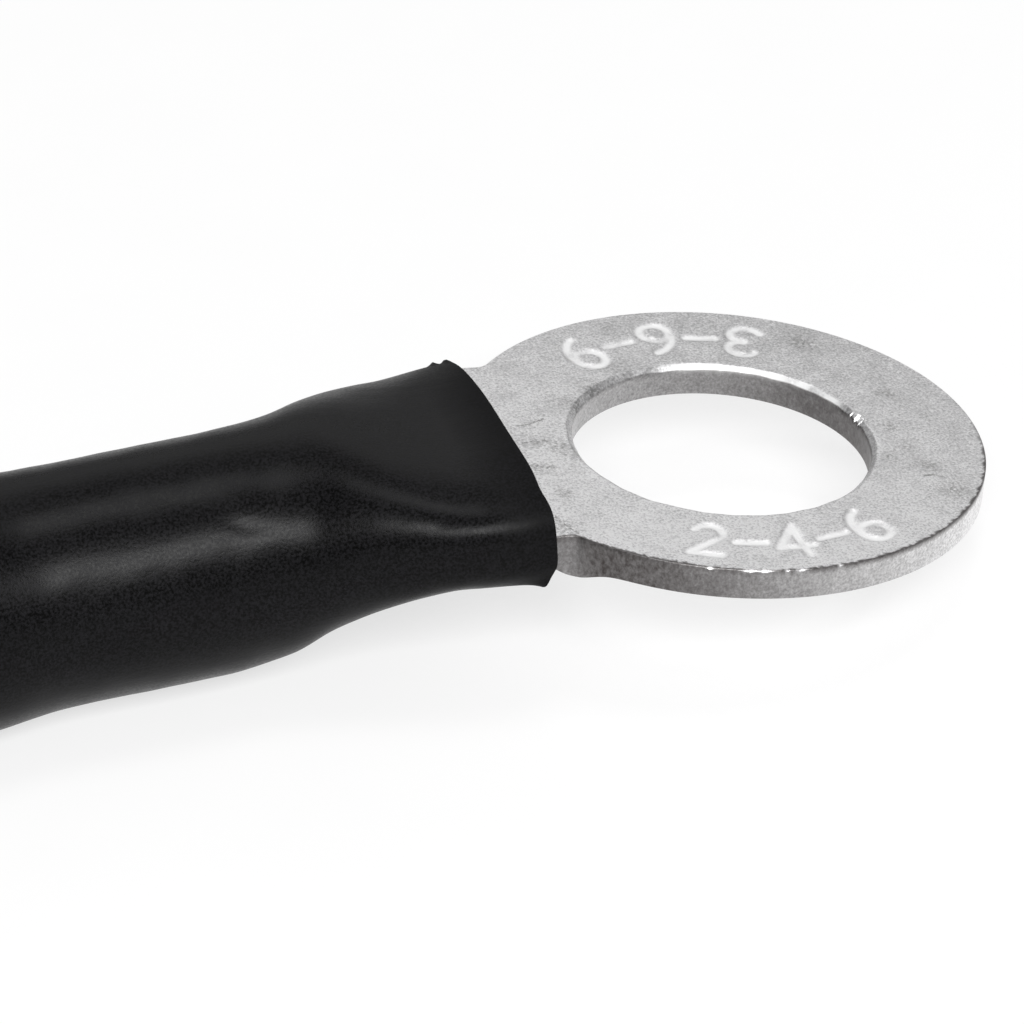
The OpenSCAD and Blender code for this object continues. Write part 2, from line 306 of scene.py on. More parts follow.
def loft(rings, loop=False):
    """Points and faces of a skin over rings of equal count, its ends capped or joined to each other."""
    rings = np.asarray(rings, float)
    grid = numbered(rings)
    faces = quads(np.vstack([grid, grid[:1]]) if loop else grid, wrap=True)
    if not loop:
        faces += [grid[0].tolist(), grid[-1][::-1].tolist()]
    return rings.reshape(-1, 3), faces


def joined(parts):
    """Several skins as one list of points and faces."""
    points, faces = [], []
    for part_points, part_faces in parts:
        start = sum(len(p) for p in points)
        points.append(part_points)
        faces += [[start + corner for corner in face] for face in part_faces]
    return np.vstack(points), faces


def rounded_rectangle(half_x, half_y, radius, steps=5):
    """Points round a rectangle with rounded corners."""
    quarter = math.pi / 2.0
    points = []
    for corner, (side_x, side_y) in enumerate(((1.0, 1.0), (-1.0, 1.0), (-1.0, -1.0), (1.0, -1.0))):
        turn = np.linspace(0.0, quarter, steps) + corner * quarter
        x = side_x * (half_x - radius) + radius * np.cos(turn)
        y = side_y * (half_y - radius) + radius * np.sin(turn)
        points.append(np.stack([x, y], axis=-1))
    return np.vstack(points)


def level_loop(half_x, half_y, radius, height):
    """A rounded rectangle that lies level at a height."""
    loop = rounded_rectangle(half_x, half_y, radius)
    return np.column_stack([loop, np.full(len(loop), height)])


def add_piece(name, mesh, finish, nodes, at=(0.0, 0.0, 0.0)):
    """A piece of the lead that stands for solids of the frame."""
    piece = bpy.data.objects.new(name, mesh)
    piece.location = at
    mesh.materials.clear()
    mesh.materials.append(finish)
    bpy.context.scene.collection.objects.link(piece)
    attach(piece, "root")
    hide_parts(*nodes)


def add_pair(name, mesh, finish, node):
    """The same piece at the near end and at the far end."""
    add_piece(name, mesh, finish, [node])
    add_piece("far_" + name, mesh.copy(), finish, ["far_" + node], FAR_AT)


# Stamped numbers, each a list of strokes in a box one high


def bow(centre, radii, start, end, steps=16):
    """Points along part of an oval, with its angles in degrees."""
    turn = np.radians(np.linspace(start, end, steps))
    return [(centre[0] + radii[0] * math.cos(t), centre[1] + radii[1] * math.sin(t)) for t in turn]


NUMBERS = {
    "2": [bow((0.0, 0.24), (0.26, 0.26), 160, -20) + [(-0.27, -0.48), (0.29, -0.48)]],
    "3": [bow((0.0, 0.24), (0.25, 0.25), 150, -90), bow((0.0, -0.24), (0.28, 0.25), 90, -150)],
    "4": [[(0.14, -0.5), (0.14, 0.5), (-0.3, -0.18), (0.32, -0.18)]],
    "6": [bow((0.0, -0.22), (0.27, 0.28), 0, 360), bow((0.33, -0.2), (0.6, 0.72), 180, 108)],
    "9": [bow((0.0, 0.22), (0.27, 0.28), 0, 360), bow((-0.33, 0.2), (0.6, 0.72), 0, -72)],
    "-": [[(-0.26, 0.0), (0.26, 0.0)]],
}
# What each side of the ring says, the angle of its middle in degrees and the distance between its numbers
STAMPS = [("2-4-6", -87.0, 1.2), ("3-6-9", 92.0, 1.25)]
STAMP_RADIUS = 5.85 * MM

# Wear on the ring's upper face, in millimetres from the hole's centre; the fourth line is painted shade
# along the bend at the neck's near corner
SCRATCHES_AND_CREASE_LINE = [
    [(-5.6, 1.35), (-5.25, 1.4), (-4.75, 1.65)],
    [(-5.7, 0.35), (-5.3, 0.5), (-4.9, 0.4)],
    [(-6.0, -0.85), (-5.6, -0.95), (-5.2, -1.1)],
    [(-5.9, -3.75), (-5.7, -4.3), (-5.52, -4.75)],
    [(5.1, -2.75), (5.35, -2.7), (5.55, -2.85)],
    [(5.2, -2.15), (5.35, -2.3)],
]
# Bright glints on the ring's rim, where its edge is rounder and its painted shade is left off: angle and
# half width in degrees
RIM_GLINTS = [(-109.0, 0.6), (-100.5, 1.4), (-97.5, 1.5), (-92.5, 0.4), (-89.5, 1.0), (-80.5, 0.5)]
# Smudges: place and radius; the last is painted shade in the neck's near corner
SMUDGES_AND_CORNER_SHADE = [
    (-4.3, -0.35, 0.45), (-4.75, 0.1, 0.35), (-5.2, 0.4, 0.3), (-5.3, -2.5, 0.25), (-5.6, -1.1, 0.3),
    (-2.9, 3.2, 0.5), (-3.6, 2.4, 0.45), (-1.4, 6.75, 0.22), (-1.9, 4.3, 0.35), (5.65, -3.6, 0.45),
    (5.4, -2.2, 0.3), (4.4, -1.6, 0.3), (4.9, 0.1, 0.3), (5.4, 1.95, 0.3), (3.9, 5.2, 0.5),
    (-5.95, -4.45, 0.55),
]


def stamp_strokes(height):
    """The strokes of both stamps on the ring, as lists of points in metres."""
    strokes = []
    for words, middle, pitch in STAMPS:
        for number, word in enumerate(words):
            step = (number - (len(words) - 1) / 2.0) * pitch * MM / STAMP_RADIUS
            turn = math.radians(middle) + step
            outward = np.array([math.cos(turn), math.sin(turn)])
            onward = np.array([-math.sin(turn), math.cos(turn)])
            at = outward * STAMP_RADIUS
            for stroke in NUMBERS[word]:
                strokes.append([at + height * (x * onward - y * outward) for x, y in stroke])
    return strokes


def stroke_distance(points, strokes):
    """How far each point lies from the nearest stroke."""
    nearest = np.full(points.shape[:-1], 1.0)
    for stroke in strokes:
        for start, end in zip(stroke[:-1], stroke[1:]):
            start, run = np.asarray(start), np.asarray(end) - np.asarray(start)
            share = np.clip(((points - start) @ run) / (run @ run), 0.0, 1.0)
            nearest = np.minimum(nearest, np.linalg.norm(points - start - share[..., None] * run, axis=-1))
    return nearest


# Terminal


def bearing(points):
    """Angle of each point round the hole's centre."""
    return np.arctan2(points[..., 1], points[..., 0])


class Sheet:
    """The stamped sheet of one terminal: a flat ring and neck, rolled into a barrel."""

    ARC_STEPS = 560
    NECK_ROWS = 34
    BARREL_ROWS = 12
    WALL_ROWS = 5
    # Where along the neck the sheet is fully curled, its crown is level, and its waist lies
    CURL_DONE = 0.72
    CROWN_DONE = 0.68
    WAIST_AT = 0.45
    CLOSE_POWER = 2.6
    # Where along the neck its near edge is sharp again, and no longer rolled down
    EDGE_DONE = 0.3
    ROLL_DONE = 0.35
    # Wear and painted shade on the upper face
    SCRATCH_WIDTH = 0.08 * MM
    SCUFF_DEPTH = 0.008 * MM
    SMUDGE_STRENGTH = 0.6
    RIM_SHADE_WIDTH = 0.07 * MM
    # Rows between the hole and the outline, close together at both edges
    RADIAL = np.concatenate(
        [
            [0.0, 0.01, 0.021, 0.032, 0.043, 0.058],
            np.linspace(0.075, 0.945, 48),
            [0.965, 0.98, 0.99, 0.996, 1.0],
        ]
    )
    UNDER_RADIAL = np.array([0.0, 0.012, 0.05, 0.2, 0.4, 0.6, 0.8, 0.95, 0.988, 1.0])
    # Rows across the neck, from one edge to the other
    EDGE_ROWS = [1.0, 0.997, 0.991, 0.982, 0.965, 0.94]
    ACROSS = np.concatenate([EDGE_ROWS, np.linspace(0.9, -0.9, 97), [-row for row in reversed(EDGE_ROWS)]])

    def __init__(self, sizes):
        self.sizes = sizes
        reach = (sizes.ring_radius + sizes.shoulder) ** 2 - (sizes.neck_half + sizes.shoulder) ** 2
        self.corner = math.sqrt(reach)
        self.flat = self.corner + sizes.neck_flat
        self.neck_x = -self.flat * math.cos(sizes.droop)
        self.barrel_x = self.neck_x - sizes.neck_length
        self.rear_x = self.barrel_x - sizes.barrel_length
        self.middle_radius = sizes.barrel_radius - sizes.barrel_wall / 2.0

    def outline(self):
        """Points round the ring and its shoulders, then across the neck, seen from above."""
        sizes = self.sizes
        end = math.atan2(sizes.neck_half, -self.flat)
        turn = np.linspace(-end, end, self.ARC_STEPS + 1)
        aside = np.abs(turn)
        centre = np.array([-self.corner, sizes.neck_half + sizes.shoulder])
        touch = math.atan2(centre[1], centre[0])
        straight = math.atan2(sizes.neck_half, -self.corner)
        toward = centre[0] * np.cos(turn) + centre[1] * np.sin(aside)
        fillet = toward - np.sqrt(np.maximum(toward**2 - centre @ centre + sizes.shoulder**2, 0.0))
        radius = np.where(aside > touch, fillet, sizes.ring_radius)
        # Only at the ring's tip, where no side is used, would the sine be too small to divide by
        side = sizes.neck_half / np.maximum(np.sin(aside), 0.01)
        radius = np.where(aside > straight, side, radius)
        arc = radius[:, None] * np.stack([np.cos(turn), np.sin(turn)], axis=-1)
        across = self.ACROSS[1:-1] * sizes.neck_half
        return np.vstack([arc, np.stack([np.full_like(across, -self.flat), across], axis=-1)])

    def edge_distance(self, points):
        """How far inside the outline each point of the flat lies."""
        sizes = self.sizes
        inside = sizes.ring_radius - np.linalg.norm(points, axis=-1)
        from_x = points[..., 0] + self.corner
        from_y = sizes.neck_half + sizes.shoulder - np.abs(points[..., 1])
        sector = np.arctan2(from_x, from_y)
        widest = math.atan2(self.corner, sizes.neck_half + sizes.shoulder)
        shoulder = np.hypot(from_x, from_y) - sizes.shoulder
        inside = np.where((sector >= 0.0) & (sector <= widest), np.maximum(inside, shoulder), inside)
        inside = np.where(from_x < 0.0, sizes.neck_half - np.abs(points[..., 1]), inside)
        return np.maximum(inside, 0.0)

    def rolled_off(self, distance, radius):
        """How far a rounded edge has fallen at that distance from the edge."""
        left = np.clip(radius - distance, 0.0, radius)
        return radius - np.sqrt(np.maximum(radius**2 - left**2, 0.0))

    def near_side(self, across):
        """Share of the near side across the neck."""
        return eased(across, -2.5 * MM, -4.0 * MM)

    def upper_edge(self, points):
        """Radius of the upper outside edge, larger at the neck's near edge and at the glints."""
        share = eased(points[..., 0], -5.1 * MM, -6.1 * MM) * self.near_side(points[..., 1])
        edge = mix(self.sizes.outer_edge, self.sizes.neck_edge, share)
        return mix(edge, self.sizes.glint_edge, self.rim_glints(points))

    def rim_glints(self, points):
        """Share of the few bright, burnished places on the ring's near rim."""
        turn = np.degrees(bearing(points))
        return np.max([hump(turn, middle, width) for middle, width in RIM_GLINTS], axis=0)

    def painted_rim_shade(self, points, distance):
        """Painted shade along the upper outside edge, over its highlight: ragged along the near side, widest
        left of the glints.
        """
        turn = bearing(points)
        widest = hump(np.degrees(turn), -117.0, 8.0)
        ragged = self.RIM_SHADE_WIDTH * (1.0 + widest) * (1.0 + 0.8 * ripple(turn * 110.0, turn * 47.0, 0.4))
        reach = np.maximum(1.6 * self.upper_edge(points), ragged)
        dull = 0.95 * (1.0 - eased(distance / reach, 0.6, 1.3))
        return dull * eased(points[..., 1], 1.5 * MM, -2.5 * MM) * (1.0 - self.rim_glints(points))

    def painted_hole_highlight(self, points):
        """The stretch of the hole's broken edge that is painted bright, as a painted highlight."""
        stretch = window(np.degrees(bearing(points)), 18.0, 26.0, 85.0, 105.0)
        return stretch * (self.hole_fall(points) > 0.0)

    def shoulder_fall(self, along, across):
        """How far the upper face of the neck's near edge is bent down towards the sleeve."""
        inner, width = 3.5 * MM, 1.3 * MM
        reach = np.maximum(-across - inner, 0.0) / width
        return self.sizes.shoulder_roll * eased(along, -5.5 * MM, -6.3 * MM) * reach**2

    def shoulder_bulge(self, along, across):
        """How far the lower edge stands down where the stamping was upset at the shoulder."""
        middle, reach = -5.6 * MM, 0.55 * MM
        bulge = self.sizes.shoulder_swell * hump(along, middle, reach)
        return bulge * eased(np.abs(across), 4.0 * MM, 4.6 * MM)

    def hole_fall(self, points):
        """The broken edge round the top of the hole, ragged where the punch left a burr."""
        turn = bearing(points)
        uneven = 1.0 + 0.16 * ripple(turn * 5.0, turn * 3.0, 1.0)
        burr = hump(turn, math.radians(10.0), math.radians(8.0))
        uneven = uneven * (1.0 + 0.7 * burr * ripple(turn * 60.0, turn * 25.0, 2.0))
        away = np.linalg.norm(points, axis=-1) - self.sizes.hole_radius
        return np.maximum(self.sizes.hole_edge * uneven - away, 0.0)

    def flat_to_frame(self, points, depth):
        """Points of the flat at a depth under its upper face, in the lead's frame."""
        cosine, sine = math.cos(self.sizes.droop), math.sin(self.sizes.droop)
        along, across = points[..., 0], points[..., 1]
        return np.stack([along * cosine - depth * sine, across, -along * sine - depth * cosine], axis=-1)

    def half_width(self, share):
        """Half the sheet's width at a share of the neck's length."""
        sizes = self.sizes
        closed = math.pi * self.middle_radius - sizes.seam / 2.0
        if share < self.WAIST_AT:
            return mix(sizes.neck_half, sizes.waist_half, ease(share / self.WAIST_AT))
        behind = (share - self.WAIST_AT) / (1.0 - self.WAIST_AT)
        return mix(sizes.waist_half, closed, behind**self.CLOSE_POWER)

    def crown_height(self, share):
        """Height of the sheet's middle line, level with the flat at one end and the barrel at the other."""
        sizes = self.sizes
        part = min(1.0, share / self.CROWN_DONE)
        rise = math.tan(sizes.droop) * sizes.neck_length * self.CROWN_DONE
        low = self.flat * math.sin(sizes.droop)
        high = sizes.barrel_radius - sizes.axis_drop
        return (
            low * (2.0 * part**3 - 3.0 * part**2 + 1.0)
            + rise * (part**3 - 2.0 * part**2 + part)
            + high * (3.0 * part**2 - 2.0 * part**3)
        )

    def neck_row(self, share, under):
        """One row across the neck behind the flat, on its upper or its under face."""
        sizes = self.sizes
        half = self.half_width(share)
        across = self.ACROSS * half
        thick = mix(sizes.thickness, sizes.barrel_wall, share)
        worn = 0.0 if under else self.near_side(across) * (1.0 - float(ease(share / self.EDGE_DONE)))
        radius = mix(sizes.outer_edge, sizes.neck_edge, worn)
        edge = self.rolled_off(half - np.abs(across), radius)
        depth = thick - edge if under else edge
        curl = float(ease(share / self.CURL_DONE)) / self.middle_radius
        turn = curl * across
        over = thick / 2.0 - depth
        y = np.sin(turn) / curl + over * np.sin(turn)
        z = -thick / 2.0 - (1.0 - np.cos(turn)) / curl + over * np.cos(turn)
        fade = 0.0 if under else 1.0 - float(ease(share / self.ROLL_DONE))
        z = z - self.shoulder_fall(np.full_like(across, -self.flat), across) * fade
        lean = sizes.droop * (1.0 - float(ease(share)))
        x = mix(self.neck_x, self.barrel_x, share) + z * math.sin(lean)
        return np.stack([x, y, self.crown_height(share) + z * math.cos(lean)], axis=-1)

    def nose_height(self, x, pushed):
        """Height of the crimp tool's nose at x, with the thickness of sheet that it pushes ahead."""
        sizes = self.sizes
        middle = mix(self.barrel_x, self.rear_x, 0.5)
        low = -sizes.axis_drop - sizes.barrel_radius + sizes.crimp_depth - sizes.crimp_radius
        reach = sizes.crimp_radius + pushed
        return low + math.sqrt(max(reach**2 - (x - middle) ** 2, 0.0))

    def barrel_row(self, x, under):
        """One row round the barrel, pressed in from below by the crimp."""
        row = self.neck_row(1.0, under)
        row[:, 0] = x
        pushed = self.sizes.barrel_wall if under else 0.0
        row[:, 2] = np.maximum(row[:, 2], self.nose_height(x, pushed))
        return row

    def rolled_rows(self, under):
        """All the rows of neck and barrel behind the flat."""
        shares = np.linspace(0.0, 1.0, self.NECK_ROWS + 1)[1:]
        places = np.linspace(self.barrel_x, self.rear_x, self.BARREL_ROWS + 1)[1:]
        return np.array(
            [self.neck_row(share, under) for share in shares] + [self.barrel_row(x, under) for x in places]
        )

    def wear_and_crease_shade(self, plan):
        """How scratched or smudged each point of the upper face is, with painted shade at the neck's near
        corner.
        """
        scratches = [np.array(scratch) * MM for scratch in SCRATCHES_AND_CREASE_LINE]
        scuffed = 1.0 - ease(stroke_distance(plan, scratches) / self.SCRATCH_WIDTH)
        for x, y, radius in SMUDGES_AND_CORNER_SHADE:
            away = np.linalg.norm(plan - np.array([x, y]) * MM, axis=-1)
            scuffed = np.maximum(scuffed, self.SMUDGE_STRENGTH * hump(away, 0.0, radius * MM))
        return scuffed

    def face(self, radial, under):
        """One face of the sheet: its points, its ring grid, its neck grid, and the wear, painted highlight
        and painted shade on its points.
        """
        sizes = self.sizes
        outline = self.outline()
        hole = outline * (sizes.hole_radius / np.linalg.norm(outline, axis=-1, keepdims=True))
        plan = hole + (outline - hole) * radial[:, None, None]
        along, across = plan[..., 0], plan[..., 1]
        distance = self.edge_distance(plan)
        stamped, scuffed, rubbed = np.zeros((3, *plan.shape[:2]))
        if under:
            depth = sizes.thickness - self.rolled_off(distance, sizes.outer_edge)
            depth = depth + self.shoulder_bulge(along, across)
        else:
            away = stroke_distance(plan, stamp_strokes(sizes.mark_height))
            stamped = np.minimum(1.6 * (1.0 - ease(away / sizes.mark_stroke)), 1.0)
            scuffed = self.wear_and_crease_shade(plan)
            # Painted shade along the rim's upper edge, left off at the glints
            rubbed = self.painted_rim_shade(plan, distance)
            depth = self.rolled_off(distance, self.upper_edge(plan)) + self.hole_fall(plan)
            depth = depth + self.shoulder_fall(along, across)
            depth = depth + sizes.mark_depth * stamped + self.SCUFF_DEPTH * scuffed
            # The stamped mask also carries the painted highlight on the hole's edge
            stamped = np.maximum(stamped, self.painted_hole_highlight(plan))
        ring = self.flat_to_frame(plan, depth)
        rows = self.rolled_rows(under)
        ring_grid = numbered(ring)
        cut = np.concatenate([ring_grid[-1, self.ARC_STEPS :], ring_grid[-1, :1]])
        neck_grid = np.vstack([cut, numbered(rows, ring_grid.size)])
        points = np.vstack([ring.reshape(-1, 3), rows.reshape(-1, 3)])
        blank = np.zeros(len(points) - ring_grid.size)
        wear = [np.concatenate([kind.ravel(), blank]) for kind in (stamped, scuffed, rubbed)]
        return points, ring_grid, neck_grid, wear

    def border(self, ring_grid, neck_grid):
        """Vertex numbers right round the sheet's outside, seam and rear edge included."""
        arc = ring_grid[-1, : self.ARC_STEPS + 1]
        return np.concatenate([arc, neck_grid[1:, 0], neck_grid[-1, 1:], neck_grid[-2:0:-1, -1]])

    def mesh(self, name):
        """The terminal as one closed mesh, with its wear, painted highlight and painted shade in attributes.
        """
        upper, upper_ring, upper_neck, wear = self.face(self.RADIAL, False)
        lower, lower_ring, lower_neck, _ = self.face(self.UNDER_RADIAL, True)
        lower_ring, lower_neck = lower_ring + len(upper), lower_neck + len(upper)
        points = np.vstack([upper, lower])
        faces = []
        for grid in (upper_ring, lower_ring):
            faces += quads(grid, wrap=True)
        for grid in (upper_neck, lower_neck):
            faces += quads(grid)
        walls = [
            (self.border(upper_ring, upper_neck), self.border(lower_ring, lower_neck)),
            (upper_ring[0], lower_ring[0]),
        ]
        # Edge tarnish and painted shade, starting from the painted rim shade
        cut_edge = np.concatenate([wear.pop(), np.zeros(len(lower))])
        for top, bottom in walls:
            shares = np.linspace(0.0, 1.0, self.WALL_ROWS + 1)[1:-1]
            between = points[top] + (points[bottom] - points[top]) * shares[:, None, None]
            rows = numbered(between, len(points))
            points = np.vstack([points, between.reshape(-1, 3)])
            faces += quads(np.vstack([top, rows, bottom]), wrap=True)
            cut_edge = np.concatenate([cut_edge, np.zeros(len(points) - len(cut_edge))])
            for numbers in (top, bottom, rows.ravel()):
                cut_edge[numbers] = np.maximum(cut_edge[numbers], self.edge_tarnish_and_shade(points[numbers]))
        mesh = make_mesh(name, points, faces, math.radians(50.0))
        spare = np.zeros(len(points) - len(upper))
        for kind, values in zip(("stamped", "scuffed"), wear):
            self.store(mesh, kind, np.concatenate([values, spare]))
        self.store(mesh, "cut_edge", cut_edge)
        return mesh

    def edge_tarnish_and_shade(self, points):
        """How dark a cut edge is made, partly by the tarnish of the sheared edge and partly by painted
        shade: most at the shoulders and inside the hole, least at the ring's tip.
        """
        turn = np.abs(bearing(points))
        radius = np.hypot(points[:, 0], points[:, 1])
        outside = eased(np.degrees(turn), 15.0, 130.0) - 0.14 * eased(np.degrees(turn), 133.0, 141.0)
        # Inside the hole the wall gets painted shade, darkest on its right
        inside = 0.68 + 0.26 * np.cos(turn)
        return np.where(radius > 1.2 * self.sizes.hole_radius, outside, inside)

    @staticmethod
    def store(mesh, name, values):
        """Keeps one value for each point of the mesh."""
        mesh.attributes.new(name, "FLOAT", "POINT").data.foreach_set("value", values.astype(np.float32))


# Sleeve, strands and tie


# How boxy the sleeve's section is at the mouth, and how far its far side hangs down there
MOUTH_POWER = 3.4
MOUTH_LEAN = -0.055
# Dents and bulges of the sleeve, in mm and radians: place, angle, reach along and round, height, slant
SWELLS = [
    (7.86, math.radians(139.0), 0.5, 0.065, -0.035, -0.12),
    (6.61, 4.15, 0.7, 0.5, 0.11, 0.0),
    (7.01, 2.42, 0.8, 0.5, 0.05, 0.0),
    (0.08, 0.55, 0.1, 0.12, 0.1, 0.0),
    (0.45, 0.55, 0.1, 0.12, 0.1, 0.0),
]
# How far the bare strands run on inside the jacket
STRAND_LAP = 6.0 * MM
# Depth of one tooth of the tie, in four steps up the strap
TOOTH = (0.0, 0.08 * MM, 0.16 * MM, 0.025 * MM)


def boxed(value, power):
    """A cosine or a sine, bent at a power over 2 so that a circle becomes a rounded box."""
    return np.sign(value) * np.abs(value) ** (2.0 / power)


def sleeve_swell(x, behind, turn):
    """How far the sleeve's skin stands out from its plain form."""
    # Slight waves left by shrinking
    swell = 0.02 * MM * ripple(x / (1.9 * MM), turn, 0.7)
    swell = swell + 0.01 * MM * ripple(x / (0.7 * MM), turn * 2.0, 2.1)
    for back, middle, reach, spread, height, slant in SWELLS:
        along = behind / MM - back
        swell = swell + height * MM * hump(along, 0.0, reach) * hump(turn - slant * along, middle, spread)
    # The near corner of the cut stands out to a point
    corner, width, peak, run = math.radians(213.0), 0.15, 0.21 * MM, 0.4 * MM
    return swell + peak * hump(turn, corner, width) * np.exp(-behind / run)


def mouth_cut(skew, turn):
    """How far the cut runs back from its foremost point on the near side."""
    foremost = math.radians(160.0)
    runs_back = skew * (1.0 - np.cos(turn - foremost))
    # A shallow nick on top
    nick, spread, depth = 2.3, 0.22, 0.07 * MM
    runs_back = runs_back + depth * hump(turn, nick, spread)
    # Under the near corner it runs back further
    further = 0.56 * MM
    return runs_back + further * window(np.degrees(turn), 186.0, 245.0, 265.0, 325.0)


def sleeve_mesh(sizes, terminal):
    """A shrink sleeve: a flat mouth round the neck that closes to a round tube on barrel and jacket."""
    rows, sides = 150, 144
    mouth = -sizes.mouth
    base = sizes.mouth * math.tan(terminal.droop)
    axis = -terminal.axis_drop
    # Rows are closest together near the mouth
    x = (mouth - sizes.reach * np.linspace(0.0, 1.0, rows) ** 1.25)[:, None]
    turn = turns(sides)[None, :]
    behind = mouth - x
    # The step up to the jacket comes later on the far side of the top
    step, rise, latest = 12.9 * MM, 3.2 * MM, math.radians(58.0)
    later = 0.22 * MM * (1.0 + np.cos(turn - latest))
    radius = mix(sizes.barrel_radius, sizes.jacket_radius, ease((behind - step - later) / rise))
    # The tube is tight over the flat neck, so its section is boxy at the mouth and round on the barrel
    boxiness = mix(MOUTH_POWER, 2.0, ease(behind / sizes.corner_blend))
    across, upward = boxed(np.cos(turn), boxiness), boxed(np.sin(turn), boxiness)
    # Its width, top and underside start to close a little behind the mouth
    width_start, crown_start, floor_start = 0.15 * MM, 1.5 * MM, 1.75 * MM
    width = mix(sizes.mouth_half, radius, ease((behind - width_start) / sizes.width_blend))
    top = mix(base + sizes.mouth_over, axis + radius, ease((behind - crown_start) / sizes.crown_blend))
    bottom = mix(base - sizes.mouth_under, axis - radius, ease((behind - floor_start) / sizes.floor_blend))
    middle, half = (top + bottom) / 2.0, (top - bottom) / 2.0
    lean = MOUTH_LEAN * (1.0 - ease(behind / sizes.width_blend))
    swell = sleeve_swell(x, behind, turn)
    # The slant of the cut dies out behind the mouth
    forward, fade = 0.12 * MM, 4.0 * MM
    skewed = x + (forward - mouth_cut(sizes.skew, turn)) * hump(behind, 0.0, fade)
    side_wall = mix(sizes.mouth_wall, sizes.wall, ease(behind / sizes.crown_blend))

    def skin(share):
        """All the rings at that share of the wall's thickness."""
        y = (width + swell - share * side_wall) * across
        z = middle + (half + swell - share * sizes.wall) * upward + lean * y
        return np.stack([skewed, y, z], axis=-1)

    # The cut ends are slightly rounded
    soft = 0.05 * MM
    edge = ((0.12, 0.8), (0.5, 1.0), (0.88, 0.8))
    front = [skin(share)[0] + [soft * lift, 0.0, 0.0] for share, lift in edge]
    back = [skin(share)[-1] - [soft * lift, 0.0, 0.0] for share, lift in edge]
    rings = np.concatenate([skin(0.0), back, skin(1.0)[::-1], front[::-1]])
    return make_mesh("shrink_sleeve", *loft(rings, loop=True))


def strand_mesh(cable, sheet):
    """The bare strands: one straight wire with six and twelve laid round it, squeezed flat in the crimp."""
    sizes = sheet.sizes
    bundle = cable.bundle_radius
    wire = bundle / 5.0
    axis = -sizes.axis_drop
    start = sheet.barrel_x + cable.strand_tip
    end = -cable.jacket_start - STRAND_LAP
    round_wire = turns(10)
    wires = []
    for count, away in ((1, 0.0), (6, 2.0 * wire), (12, 3.9 * wire)):
        for number in range(count):
            uneven = 0.12 * MM * math.sin(5.0 * number + count)
            places = np.linspace(start + uneven, end, 48)
            # A smaller ring in front rounds off the cut end
            places = np.concatenate([places[:1] + 0.08 * MM, places])
            girth = np.concatenate([[0.45], np.ones(len(places) - 1)]) * wire
            rings = []
            for x, around in zip(places, girth):
                turn = 2.0 * math.pi * (number / count + x / cable.lay)
                y = away * math.cos(turn) + around * np.cos(round_wire)
                z = away * math.sin(turn) + around * np.sin(round_wire)
                floor = sheet.nose_height(x, sizes.barrel_wall) - axis
                room = (bundle - max(floor, -bundle)) / (2.0 * bundle)
                z = bundle - (bundle - z) * room
                rings.append(np.stack([np.full_like(y, x), y, axis + z], axis=-1))
            wires.append(loft(rings))
    return make_mesh("strands", *joined(wires))


def tie_mesh(tie, cable_radius):
    """A strap tie: a strap round both strands, a slotted head on top, and the toothed tail through it."""
    half_width, half_thick = tie.width / 2.0, tie.thickness / 2.0
    radius = cable_radius + half_thick
    onward = np.array([1.0, 0.0, 0.0])
    # The strap's sections follow each other round both strands, starting under the head
    section = rounded_rectangle(half_width, half_thick, 0.25 * MM)
    strap = []
    for side in (1.0, -1.0):
        for turn in np.linspace(math.pi / 2.0, -math.pi / 2.0, 33):
            out = np.array([0.0, side * math.cos(turn), side * math.sin(turn)])
            spot = np.array([0.0, side * tie.spread, 0.0]) + radius * out
            strap.append([spot + across * onward + away * out for across, away in section])
    half_x, half_y, height = tie.head[0] / 2.0, tie.head[1] / 2.0, tie.head[2]
    slot_x, slot_y = half_width + 0.2 * MM, half_thick + 0.25 * MM
    soft, bevel, lip, slot_depth = 0.35 * MM, 0.1 * MM, 0.15 * MM, 1.6 * MM
    base = cable_radius + 0.05 * MM
    levels = [
        (half_x - soft, half_y - soft, 0.0), (half_x - bevel, half_y - bevel, bevel),
        (half_x, half_y, soft), (half_x, half_y, height - soft),
        (half_x - bevel, half_y - bevel, height - bevel), (half_x - soft, half_y - soft, height),
        (slot_x + lip, slot_y + lip, height), (slot_x, slot_y, height - lip),
        (slot_x, slot_y, height - slot_depth),
    ]
    head = [level_loop(across, deep, 0.3 * MM, base + level) for across, deep, level in levels]
    tip = cable_radius + height + tie.tail
    tail = []
    steps = np.arange(base + height - slot_depth, tip - 0.5 * MM, tie.tooth / len(TOOTH))
    for number, level in enumerate(steps):
        loop = level_loop(half_width, half_thick, 0.2 * MM, level)
        loop[loop[:, 1] < 0.0, 1] += TOOTH[number % len(TOOTH)]
        tail.append(loop)
    # The tip is rounded off in two steps
    for across, deep, level in ((0.8, 0.8, tip - 0.25 * MM), (0.55, 0.5, tip)):
        tail.append(level_loop(half_width * across, half_thick * deep, 0.1 * MM, level))
    points, faces = joined([loft(strap, loop=True), loft(head), loft(tail)])
    return make_mesh("strap_tie", points + np.array(tie.middle), faces, math.radians(35.0))


# Materials


